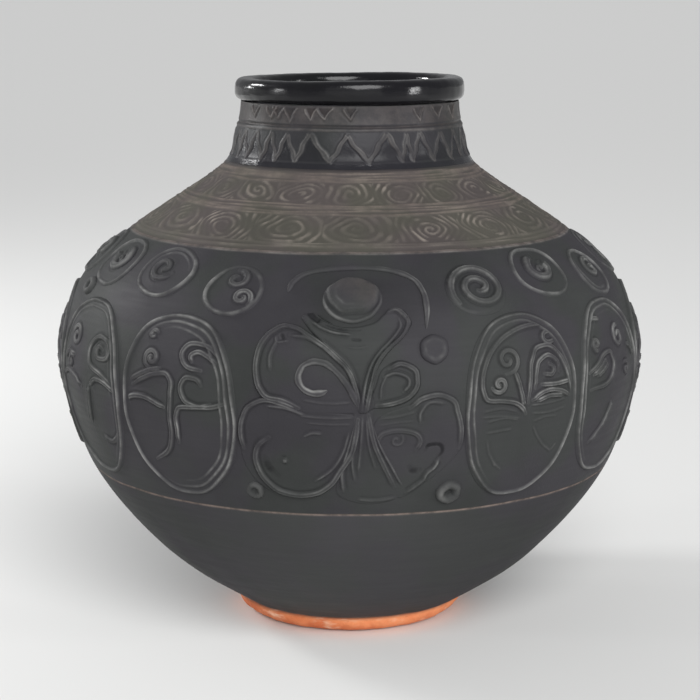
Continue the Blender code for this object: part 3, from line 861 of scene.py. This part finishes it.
def oval_pad(node, squareness, wobble, seed, slim):
    """Centre, half height, pad and direction round it, at slim millimetres a degree, of an oval piece."""
    centre, half_angle, half_height = footprint(node)
    half_angle = half_angle + degrees_at(centre[1], BORDER_MARGIN)
    border = oval_border(centre, half_angle, half_height + BORDER_MARGIN, squareness, wobble, seed)
    pad = pad_points(border, centre, ORNAMENT_PITCH)
    return centre, half_height, pad, arctan2(pad.climb - centre[1], (pad.angle - centre[0]) * slim)


def make_oval(node, pad, centre, rise, ring, drawn):
    """An oval pad, painted pale along its ring and its drawn lines, for rubbed wear and painted highlight."""
    make_pad(node, pad, centre, rise, {"line": where(ring > 0.05, maximum(ring, drawn), drawn)})


def medallion(number, design, flip, shift):
    """A medallion: ridges round its edge, strongest towards shift, and a design, mirrored if flip is -1."""
    node = f"medallion_{number:02d}"
    centre, _, pad, around = oval_pad(node, 2.3, 0.012, number, slim=3)
    rise, ring = np.full(around.shape, MEDALLION_FLOOR), zeros(around.shape)
    for index, (inset, width, height, extent) in enumerate(MEDALLION_RIDGES):
        wander = 0.3 * sin(5 * around + index + number) + 0.2 * sin(11 * around + number)
        keep = design.ridges[index] * unit(cos(around - math.radians(shift)) + extent)
        form = ridge(pad.inset - inset - wander, width) * keep
        rise = maximum(rise, MEDALLION_FLOOR * 0.6 + form * height)
        ring = maximum(ring, form**1.5 * (1 - 0.12 * index))
    strokes = [stroke(pairs(line) * (flip, 1) + centre, 1.2) for line in design.lines]
    for angle, climb, size, turns, start, hand in design.spirals:
        spot = (centre[0] + flip * angle, centre[1] + climb)
        strokes.append(spiral(spot, size, turns, start if flip > 0 else 180 - start, flip * hand))
    strokes += [stroke(pairs(line) * (flip, 1) + centre, 0.8, 0.25) for line in design.faint]
    drawn, drawn_line = draw(strokes, pad.angle, pad.climb)
    inside = unit((pad.inset - 4.6) / 1.5)
    dish = 0.3 * unit((pad.inset - 8.0) / 20.0)
    make_oval(node, pad, centre, rise + drawn * inside + dish, ring, drawn_line * inside)


def roundel(number, kind, start, hand):
    """A small roundel: a raised ring, stronger towards start, round spirals that begin there."""
    node = f"roundel_{number:02d}"
    centre, half_height, pad, around = oval_pad(node, 2.1, 0.02, 100 + number, slim=2)
    even, extra, spirals = kind
    inset, width, height = ROUNDEL_RIDGE
    strength = even + extra * unit(0.3 + cos(around - math.radians(start)))
    ring = ridge(pad.inset - inset - 0.25 * sin(4 * around + number), width) * strength
    if kind is DOUBLE:
        half_ring = unit(cos(around - math.radians(start + 150)))
        ring = maximum(ring, ridge(pad.inset - 4.4, 0.9, 0.7) * half_ring)
    strokes = []
    for side, up, size, turns, later, turn_hand, *looks in spirals:
        side = centre[0] + degrees_at(centre[1], hand * side * half_height)
        inner = 0.62 if turns < 0.9 else 0.14
        spot, way = (side, centre[1] + up * half_height), start + hand * later
        strokes.append(spiral(spot, size * half_height, turns, way, hand * turn_hand, *looks, 0.92, inner))
    drawn, drawn_line = draw(strokes, pad.angle, pad.climb)
    make_oval(node, pad, centre, maximum(ROUNDEL_FLOOR, ring * height) + drawn, ring, drawn_line)


# ---- front figure

FIGURE_PITCH = 0.5
FIGURE_WEAR_AND_HIGHLIGHT = 0.56  # how much of the medallions' paleness, rubbed wear and painted highlight, the figure's lines have
GROOVE_FLOOR = 0.12  # the least a pad stands off the wall, at the bottom of its deepest groove


def grown(points, centre, by):
    """A closed border round points, each moved out from centre by this many millimetres."""
    border = smooth_path(points, closed=True)
    return centre + (border - centre) * (1 + by / hypot(*flat(border, centre).T))[:, None]


def figure_pad(node, centre, floor, outline, rows=(), dome=0.0, grow=2.0, looks=None):
    """A flat piece of the figure, floor high. A row is a ready stroke, or a stroke's half width, height and
    fade, and then its points."""
    pad = pad_points(grown(pairs(outline), centre, grow), centre, FIGURE_PITCH)
    strokes = [row if isinstance(row, Stroke) else stroke(pairs(row[1:]), *row[0]) for row in rows]
    drawn, line = draw(strokes, pad.angle, pad.climb)
    rise = floor + drawn + dome * sqrt(unit(1 - (1 - pad.inset / pad.inset.max()) ** 2))
    rise, marks = maximum(rise, GROOVE_FLOOR), {"line": where(line > 0, FIGURE_WEAR_AND_HIGHLIGHT * line, line)}
    if looks is not None:
        rise, marks = looks(pad, rise)
    make_pad(node, pad, centre, rise, marks)


def coil(node, points, width, height, pale, base=0.0):
    """A thin roll of clay along a path, tapered at both ends. pale is how pale it is painted from end to end,
    for rubbed wear and painted highlight.
    """
    path = smooth_path(pairs(points), 8)
    along = np.gradient(flat(path), axis=0)
    along /= np.linalg.norm(along, axis=1)[:, None]
    around = linspace(-math.pi, math.pi, 20, endpoint=False)
    across, up = sin(around), cos(around)
    share = linspace(0, 1, len(path))
    taper = sqrt(clip(minimum(share, 1 - share) / 0.06, 0.04, 1))[:, None]
    uneven = (1 + 0.1 * sin(share * 23) + 0.06 * sin(share * 51))[:, None]
    side = width * taper * uneven * across
    angle = path[:, :1] + degrees(side * along[:, 1:] / radius_at(path[:, 1:]))
    lift = base + where(up > 0, height * up * uneven, PAD_SUNK * up) * taper
    rows = on_wall(angle, path[:, 1:] - side * along[:, :1], lift)
    edges = 0.95 * bell(across + 0.55, 0.34) + 0.5 * bell(across - 0.6, 0.3)
    strength = interp(share, linspace(0, 1, len(pale)), pale)[:, None]
    line = edges * unit(up * 4) * strength
    turned(node + "_relief", rows, {"line": line}, SATIN, capped=True)


DISC_CENTRE = (0.5, 98.6)
DOME_CENTRE = (0.5, 99.6)
DOME_REACH = (11.2, 9.2)  # half width and half height
DOME_RISE = 1.7
DOME_WALL = 0.16  # share of the dome's radius over which its side rises
SKIRT_RISE = 0.7
KNOB_CLIMB = 74.8


def disc_looks(pad, _):
    """The disc: a flat-topped dome with facets, on a thinner skirt that shows under it."""
    across = radians(pad.angle - DOME_CENTRE[0]) * radius_at(pad.climb) / DOME_REACH[0]
    up = (pad.climb - DOME_CENTRE[1]) / DOME_REACH[1]
    way = arctan2(up, across)
    share = hypot(across, up) * (1 + 0.03 * cos(5 * way + 1) + 0.02 * cos(8 * way))
    side = unit((1 - share) / DOME_WALL)
    low = unit(-sin(way) + 0.5)
    crescent = ridge(pad.inset - 1.3, 1.0) * low * (share > 1)
    rise = SKIRT_RISE + DOME_RISE * side + 0.5 * unit(1 - share**2) + 0.5 * crescent
    edge = bell(share - 0.92, 0.055) * (0.35 + 0.65 * unit(0.5 + cos(way - 1.0)))
    facet = bell(share - 0.62, 0.05) * unit(-cos(way - 0.6))
    # Painted shadow: a dark band just outside the dome's lower edge, where the dome shades the skirt.
    gap = bell(share - 1.05, 0.06) * low
    pale = 0.05 * (share < 1) + 0.65 * edge + 0.25 * facet + 0.6 * crescent - 0.7 * gap
    return rise, {"line": pale, "warm": 0.1 * side * unit(0.6 + cos(way - 0.8) * share)}


def ring_looks(pad, _):
    """A small ring: a fat raised round with a dimple in its middle."""
    share = pad.inset / pad.inset.max()
    rise = 1.9 * sin(unit(share * 1.12) * math.pi) ** 0.8 - 2.5 * unit(share - 0.8)
    # The dimple in the middle is painted dark: painted shade.
    return rise, {"line": 0.7 * ridge(share - 0.4, 0.35) - 0.6 * unit(share * 5 - 4)}


def crescent_looks(pad, _):
    """A small ring that is worn away on its left."""
    rise, marks = ring_looks(pad, _)
    worn = clip(0.55 + 1.2 * (pad.angle - pad.angle.mean()) / ptp(pad.angle), 0.12, 1)
    return rise * worn, {"line": marks["line"] * worn}


def knob_looks(pad, rise):
    """A worn knob: a dome with a shallow ring near its edge."""
    petals = 0.5 + 0.5 * cos(6 * arctan2(pad.climb - KNOB_CLIMB, (pad.angle - pad.angle.mean()) * 2.3))
    ring = ridge(pad.inset - 2.4, 1.1, 0.4) * (0.4 + 0.6 * petals)
    return rise + ring, {"line": ring}


UPPER_WING = (
    1.8, 50, 0.9, 59.4, -0.4, 67, -2.8, 72.6, -5, 77, -7.5, 80.8, -10, 84.2, -12, 85, -14.3, 82.4, -16, 77.6,
    -16.8, 71, -16.7, 63.4, -15.8, 57.6, -14.5, 54.6, -12, 53.6, -9, 50.3, -4, 49.5,
)
LOWER_WING = (
    1.4, 46, 1, 38, 0.2, 30, -1.8, 22, -4, 14.5, -6.5, 10.6, -10, 9.6, -13, 10.6, -16, 14, -18.4, 21,
    -19.5, 31, -19.7, 38, -19.2, 45, -17.5, 51, -15, 53.4, -12, 52.3, -9.5, 50, -4, 48,
)
TAIL_WING = (
    4.4, 40, 6, 46.6, 11, 50.8, 13, 54.4, 15.5, 55.4, 18, 53.2, 19.2, 47.4, 20, 40, 19.8, 31, 17.4, 24,
    14.5, 17.6, 11.5, 11.5, 9.6, 9.5, 7.6, 16, 6, 25, 4.8, 33,
)
SKIRT = (
    -1.6, 10, -2, 18, -0.4, 30, 0.8, 42, 1.6, 49.5, 3, 49.5, 4, 42, 5.6, 31, 8.2, 20, 9.8, 11, 7, 7.4,
    2.6, 6.6,
)
LEAF = (4.5, 51.6, 7, 52.4, 9.5, 54.2, 11.3, 57.8, 11.8, 62.4, 11, 67.2, 8.8, 69, 6.8, 67, 5.2, 60.8)
CUP = (
    2.4, 49, 1.5, 59, 0, 67, -2.5, 73, -5, 78.6, -7.4, 84, -8.4, 90, -7, 91, -4.6, 87.4, -1.8, 84.9,
    1.2, 84.2, 4, 85.8, 6, 89.6, 7.8, 92.6, 9.4, 92.2, 10.9, 88.6, 11.3, 86, 10.6, 83.2, 9.2, 79.4,
    7.2, 75.6, 5.6, 71.4, 4.5, 66.6, 3.9, 60, 3.4, 50,
)


def figure():
    """The front figure: a disc under an arch, the cup that holds it, wings, a skirt and small rounds."""
    figure_pad("figure_upper_wing", (-8, 68), 0.35, UPPER_WING, (
        ((1.25, 1.15), *UPPER_WING[:-2]),
        ((1, 0.6), 1.1, 56, 0.5, 62.6, -0.9, 69.2, -3, 73.2, -5.8, 77.6, -8.2, 80.2, -11.2, 81),
        ((0.9, 0.35), -13.4, 78.4, -14.4, 72.6, -14.3, 66), ((1, -0.5), -12.6, 81.4, -12.1, 79),
        ((0.7, 0.35), -13.7, 80.2, -13.2, 77.8, -11.4, 78.6), ((0.7, 0.2), -8.4, 54, -4, 52.6, 0.2, 53.2),
    ))
    figure_pad("figure_lower_wing", (-9, 31), 0.3, LOWER_WING, (
        ((1.2, 1), -9.5, 50, -12, 52.3, -15, 53.4, -17.5, 51, -19.2, 45, -19.7, 38, -19.4, 31),
        ((0.9, 0.5), -8, 47.6, -11.6, 50.4, -14.6, 51),
        ((1.35, 1.2), 1.4, 46, 1, 38, 0.2, 30, -1.8, 22, -4, 14.5, -6.5, 11, -10, 10, -13, 11.5, -15.5, 16,
         -17, 23, -17.2, 29, -16, 34.5, -14.5, 37),
        ((0.9, 0.5), -0.2, 40, -1.4, 30, -3.6, 22, -6.4, 17),
        ((2.2, -0.45, 0.4), -15.6, 27.4, -15, 22.8, -13.4, 19.2),
        Stroke(np.array([(-12.1, 26.4), (-11.5, 26.6)]), 1.5, 0.7, fade=0.0),
        ((0.9, 0.35), -8.2, 38, -6.6, 39.6, -5, 39.4), ((0.7, 0.25), -9, 47.2, -4, 46.4, 0.4, 46.6),
        ((0.6, 0.2), -7.6, 44.2, -3.4, 43.6, 0.3, 43.8),
    ))
    figure_pad("figure_tail_wing", (12.5, 35), 0.3, TAIL_WING, (
        ((1.3, 0.8), 10.4, 50.2, 13, 54.5, 15.5, 55.4, 18, 53.2, 19.2, 47.4, 20, 40, 20.1, 31),
        ((1, 0.5), 12.3, 43.6, 12.5, 48.8, 14.5, 52.6, 16.6, 51.8),
        ((1.15, 0.55), 4.8, 36, 5.8, 39.4, 8.4, 40.6, 11.4, 39.2, 12.5, 35.6, 11.8, 31.4),
        spiral((8.2, 36.2), 3.2, 1.1, 60, width=0.8, height=0.3, split=0),
        ((1.1, -0.7, 0.2), 13.6, 31, 14.2, 33.4, 15.8, 33.6, 16.8, 30.4, 15.7, 26.6),
        ((1.1, 0.8), 16.2, 26.4, 15.4, 22.6, 14.2, 20, 13.5, 16.6, 12, 13.6, 10.4, 10.8),
        ((1.9, -0.5, 0.4), 10.8, 23.6, 11.6, 21.6, 12.8, 21.8),
        ((0.7, 0.2), 5.4, 46.2, 8.4, 46.8, 11.4, 48.6), ((0.6, 0.15), 5, 43.2, 8.2, 44.2, 11.2, 44.6),
    ))
    figure_pad("figure_skirt", (3, 24), 0.35, SKIRT, (
        ((1.1, 0.6), 0.8, 47, -0.2, 34, -1.5, 20, -1.2, 12), ((0.9, 0.4), 1.6, 47, 1, 36, 0.4, 26, 0.9, 17),
        ((0.9, 0.3), 2.2, 48, 1.9, 34, 1.5, 22), ((1.2, 0.65), 3.2, 48, 4.4, 34, 6.2, 24, 8.2, 14),
        ((0.8, 0.3), 2.8, 47, 3.4, 33, 4.6, 23), ((0.9, 0.5), 3.9, 46, 5.4, 34, 8, 22, 9.6, 15),
        ((1, 0.35), 1.5, 8, 5, 7.4, 8.5, 8.6),
    ), grow=1.6)
    figure_pad("figure_leaf", (8.2, 62), 0.35, LEAF, (
        ((1.2, 1.0), *LEAF[:-2]),
        ((1, 0.7), 5.8, 63.6, 7.8, 65.2, 9.8, 63.8, 10.3, 60.2, 9.2, 57.2),
        ((0.8, 0.35), 5.3, 54, 5.5, 59.6, 6.4, 64.4),
    ))
    figure_pad("figure_cup", (2.5, 78), 0.75, CUP, (
        ((1.15, 1.15), 2.7, 48, 3.2, 55, 3.9, 62, 4.7, 68.5, 5.9, 72.8, 7.4, 76.2, 9.4, 80.2, 10.5, 84,
         10.8, 86.8, 9.9, 90, 8.5, 92.3, 7, 91.8),
        ((0.9, 0.7), 2.1, 50, 2.4, 57, 3, 64, 4, 70, 5.4, 74.4, 7, 78, 8.4, 81.6, 9.3, 85, 9.1, 88),
        ((1, 0.4), 1.4, 52, 0.9, 61.4, -0.4, 68.7, -3, 74.5, -5.6, 79.3),
        ((1.6, -1.1), -7.8, 91.2, -6.8, 88.9, -5.5, 87),
        ((0.8, -0.45, 0.4), -5.8, 87.4, -3.6, 85, -1.2, 83.6, 1.8, 83.4),
        ((0.9, 0.6), -7, 86.8, -5.2, 84.2, -2.8, 82.2, 0.2, 81.4), ((0.8, -0.3), 0.2, 79.4, 2, 79),
        ((0.7, 0.15), -0.6, 76.2, 1.6, 75.8, 3, 76.4),
    ), dome=0.5, grow=1.0)
    disc = oval_border((DISC_CENTRE[0], DISC_CENTRE[1] - 0.7), 5.8, 11.2, wobble=0.02, seed=40)
    figure_pad("figure_disc", DISC_CENTRE, 0.0, disc[:-1:8], grow=0.6, looks=disc_looks)
    arch = (
        -12.6, 101, -11.9, 106.4, -9.4, 111.2, -5.4, 113.4, -1, 114.3, 3, 114.5, 7.6, 113.6, 11.2, 111,
        13.5, 107.6, 14.7, 102, 14.9, 94, 14.2, 83.4,
    )
    coil("figure_arch", arch, 1.35, 1.1, (0.35, 0.25, 0.0, 0.1, 0.9, 1.1, 0.8))
    curl = (
        1.3, 51.4, 0.3, 57.4, -1.1, 62.6, -2.9, 67, -4.7, 69.7, -6.4, 70.2, -7.9, 68.9, -8.8, 66.2, -9.1, 63,
        -8.6, 60, -7.6, 57.9, -6.3, 56.9, -5, 57.1, -3.9, 58.2,
    )
    coil("figure_curl", curl, 1.5, 1.2, (0.25, 0.4, 0.6, 0.9, 1.2, 0.9), base=0.3)
    rounds = (
        ("figure_knob", 6.2, 0.9, 0.5, knob_looks),
        ("small_button", 4.6, 0.4, 0.6, ring_looks),
        ("figure_ring_right", 5.7, 0.0, 0.0, ring_looks),
        ("figure_ring_left", 4.2, 0.0, 0.0, crescent_looks),
    )
    for node, radius, floor, dome, looks in rounds:
        centre = footprint(node)[0]
        half_angle = degrees_at(centre[1], radius)
        border = oval_border(centre, half_angle, radius, wobble=0.03, seed=int(radius * 10))
        figure_pad(node, centre, floor, border[:-1:12], dome=dome, grow=0.5, looks=looks)


bowl()
foot()
belly_rows = edged_rows(JOINT_GAP, SHOULDER_LINE, pitch=1.6, fine=0.3)
shoulder_rows = even_rows(SHOULDER_LINE + JOINT_GAP, NECK_JOINT, pitch=0.82)
neck_rows = even_rows(NECK_JOINT + JOINT_GAP, RIM_JOINT, pitch=0.42)
section("belly_wall", belly_rows, COLUMNS, belly_relief, SATIN)
section("shoulder_wall", shoulder_rows, SHOULDER_COLUMNS, shoulder_relief, MATTE)
section("neck_collar", neck_rows, NECK_COLUMNS, neck_relief, SATIN)
rim()
for index, plan in enumerate(MEDALLIONS, 1):
    medallion(index, *plan)
for index, plan in enumerate(ROUNDELS, 1):
    roundel(index, *plan)
figure()

# ---- stage

FLOOR_COLOUR = (0.74, 0.74, 0.73, 1.0)
SKY_COLOUR = (0.97, 0.98, 1.0, 1.0)
SKY = 0.33  # as a light
SKY_SEEN = 0.66  # as the camera sees it, level with the floor
TARGET = Vector((0.0, 0.0, 0.126))
CAMERA_RISE = 10.44
CAMERA_DISTANCE = 0.988
CAMERA_LENS = 105.0
SUN_POWER = 3.1
SUN_SPREAD = 40
SUN_TURN = 14
SUN_RISE = 31
# Soft lights: turn from the front towards +X, rise, distance, width and height in metres, and power
SOFTBOXES = {
    "high_left": (-112, 26, 1.4, 0.3, 0.16, 8),
    "far_left": (-118, 9, 1.4, 0.18, 0.1, 2.4),
    "left": (-74, 8, 1.3, 0.16, 0.1, 2),
    "right": (68, 10, 1.3, 0.12, 0.36, 4),
    "low": (4, 12, 1.5, 1.6, 0.8, 1.6),
}


def aimed(name, data, turn, rise, distance):
    """A light or a camera that looks at the pot from turn, rise and distance."""
    turn, rise = math.radians(turn), math.radians(rise)
    level = math.cos(rise) * distance
    spot = Vector((level * math.sin(turn), -level * math.cos(turn), math.sin(rise) * distance))
    thing = bpy.data.objects.new(name, data)
    thing.location = TARGET + spot
    thing.rotation_euler = (-spot).to_track_quat("-Z", "Y").to_euler()
    bpy.context.scene.collection.objects.link(thing)
    return thing


def stage():
    """A plain pale floor under a pale sky, soft lights, and the camera."""
    bpy.ops.mesh.primitive_circle_add(vertices=96, radius=60.0, fill_type="NGON")
    floor = bpy.context.object
    floor.name = "floor"
    pale = Graph("pale_floor")
    pale.feed(pale.shader, {"Base Color": FLOOR_COLOUR, "Roughness": 0.9})
    floor.data.materials.append(pale.material)
    world = bpy.data.worlds.new("studio")
    bpy.context.scene.world = world
    world.use_nodes = True
    nodes, links = world.node_tree.nodes, world.node_tree.links
    sky, strength = nodes["Background"], nodes.new("ShaderNodeMapRange")
    sky.inputs["Color"].default_value = SKY_COLOUR
    strength.inputs["To Min"].default_value, strength.inputs["To Max"].default_value = SKY, SKY_SEEN
    links.new(nodes.new("ShaderNodeLightPath").outputs["Is Camera Ray"], strength.inputs["Value"])
    links.new(strength.outputs["Result"], sky.inputs["Strength"])
    sun = bpy.data.lights.new("front", "SUN")
    sun.energy, sun.angle = SUN_POWER, math.radians(SUN_SPREAD)
    aimed("front", sun, SUN_TURN, SUN_RISE, 1.0)
    for name, (turn, rise, distance, width, height, power) in SOFTBOXES.items():
        data = bpy.data.lights.new(name, "AREA")
        data.shape = "RECTANGLE"
        data.size, data.size_y, data.energy = width, height, power
        aimed(name, data, turn, rise, distance)
    camera = aimed("camera", bpy.data.cameras.new("camera"), 0, CAMERA_RISE, CAMERA_DISTANCE)
    camera.data.lens = CAMERA_LENS
    bpy.context.scene.camera = camera
    bpy.context.scene.view_settings.view_transform = "Standard"


stage()
